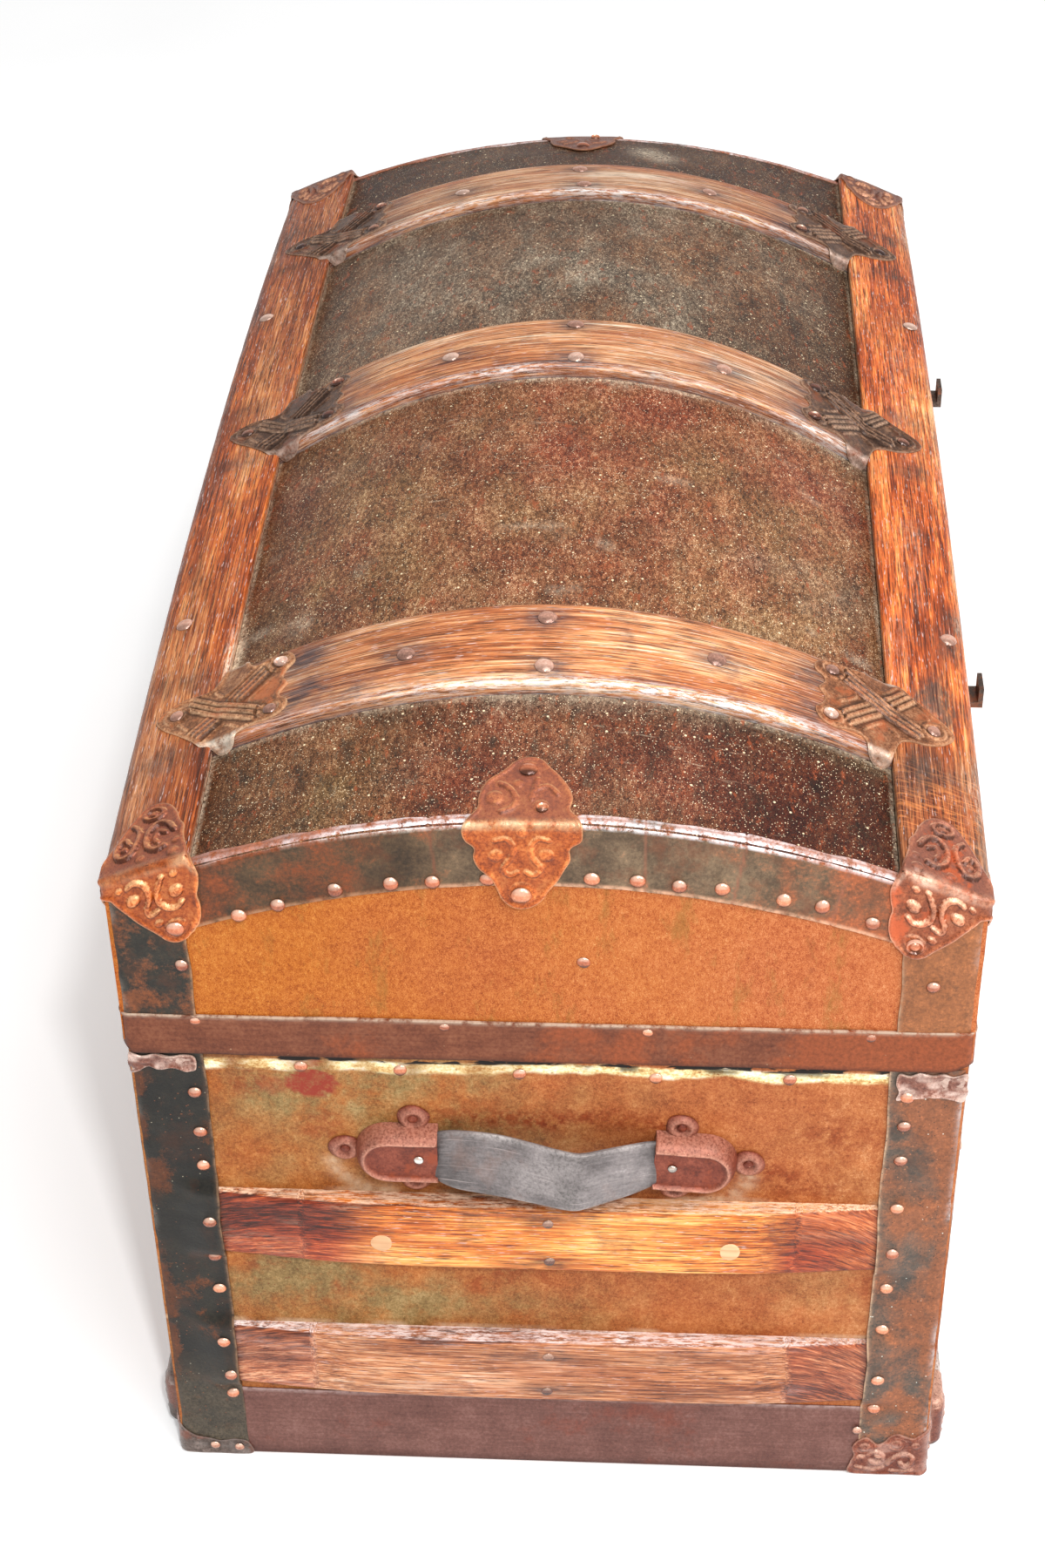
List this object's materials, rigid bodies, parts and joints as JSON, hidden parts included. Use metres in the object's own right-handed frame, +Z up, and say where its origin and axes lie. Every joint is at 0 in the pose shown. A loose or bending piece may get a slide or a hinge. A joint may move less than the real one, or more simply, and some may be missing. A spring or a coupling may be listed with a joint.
{
  "type": "dome top trunk",
  "caption": "Dome top storage trunk with a hinged bowed lid, hardwood slats and rails, sheet-metal covers, riveted bindings, embossed corner caps and leather end handles.",
  "frame": {"origin": "under the middle of the trunk, on the plane that the runners rest on", "axes": "+X along the trunk, -Y to the front with the lock, +Y to the hinges, +Z up"},
  "size_m": [0.936, 0.516, 0.587],
  "materials": {
    "carcass_wood": "dry basswood board",
    "oak": "old varnished oak",
    "dome_sheet": "worn japanned sheet iron",
    "lid_sheet": "rusty sheet iron",
    "body_sheet": "rusty sheet iron",
    "binding": "worn black paint on iron strip",
    "band": "maroon brown painted iron",
    "embossed_cap": "copper coloured stamped iron",
    "clasp": "dark brown stamped iron",
    "nail": "coppered nail heads",
    "handle_iron": "dark cast iron",
    "hardware": "dark iron hardware",
    "leather": "grey worn harness leather"
  },
  "bodies": {
    "root": {"bottom_board": "carcass_wood", "bottom_runners": "oak", "front_board": "carcass_wood", "back_board": "carcass_wood", "left_end_board": "carcass_wood", "right_end_board": "carcass_wood", "front_cover": "body_sheet", "back_cover": "body_sheet", "left_end_cover": "body_sheet", "right_end_cover": "body_sheet", "body_corner_bindings": "binding", "bottom_band": "band", "bottom_corner_caps": "embossed_cap", "left_end_slats": "oak", "right_end_slats": "oak", "front_slats": "oak", "back_slats": "oak", "slat_clamps": "clasp", "left_handle_caps": "handle_iron", "right_handle_caps": "handle_iron", "hinge_body_leaves": "hardware", "hinge_pins": "hardware", "lock": "hardware", "latch_strikes": "hardware", "body_nails": "nail"},
    "lid": {"lid_front_board": "carcass_wood", "lid_back_board": "carcass_wood", "lid_left_end_board": "carcass_wood", "lid_right_end_board": "carcass_wood", "lid_staves": "carcass_wood", "dome_cover": "dome_sheet", "lid_front_cover": "lid_sheet", "lid_back_cover": "lid_sheet", "lid_left_end_cover": "lid_sheet", "lid_right_end_cover": "lid_sheet", "left_arch_binding": "binding", "right_arch_binding": "binding", "lid_corner_bindings": "binding", "lid_corner_caps": "embossed_cap", "crown_bumpers": "embossed_cap", "lid_band": "band", "front_rail": "oak", "back_rail": "oak", "cross_slats": "oak", "rail_clasps": "clasp", "lid_nails": "nail", "hinge_lid_leaves": "hardware", "hasp_bracket": "hardware", "latch_brackets": "hardware", "latch_pins": "hardware"},
    "hasp": {"hasp": "hardware"},
    "left_latch": {"left_latch_arm": "hardware"},
    "right_latch": {"right_latch_arm": "hardware"},
    "left_handle": {"left_handle_strap": "leather"},
    "right_handle": {"right_handle_strap": "leather"}
  },
  "joints": [
    {"name": "lid_hinge", "type": "hinge", "parent": "root", "child": "lid", "pos_m": [0, 0.2486, 0.3642], "axis": [-1, 0, 0], "range_deg": [0, 100]},
    {"name": "hasp_hinge", "type": "hinge", "parent": "lid", "child": "hasp", "pos_m": [0, -0.2496, 0.407], "axis": [-1, 0, 0], "range_deg": [0, 150]},
    {"name": "left_latch_hinge", "type": "hinge", "parent": "lid", "child": "left_latch", "pos_m": [-0.19, -0.2496, 0.414], "axis": [-1, 0, 0], "range_deg": [0, 135]},
    {"name": "right_latch_hinge", "type": "hinge", "parent": "lid", "child": "right_latch", "pos_m": [0.19, -0.2496, 0.414], "axis": [-1, 0, 0], "range_deg": [0, 135]},
    {"name": "left_handle_lift", "type": "hinge", "parent": "root", "child": "left_handle", "pos_m": [-0.4505, 0, 0.284], "axis": [0, 1, 0], "range_deg": [0, 80]},
    {"name": "right_handle_lift", "type": "hinge", "parent": "root", "child": "right_handle", "pos_m": [0.4505, 0, 0.284], "axis": [0, -1, 0], "range_deg": [0, 80]}
  ]
}
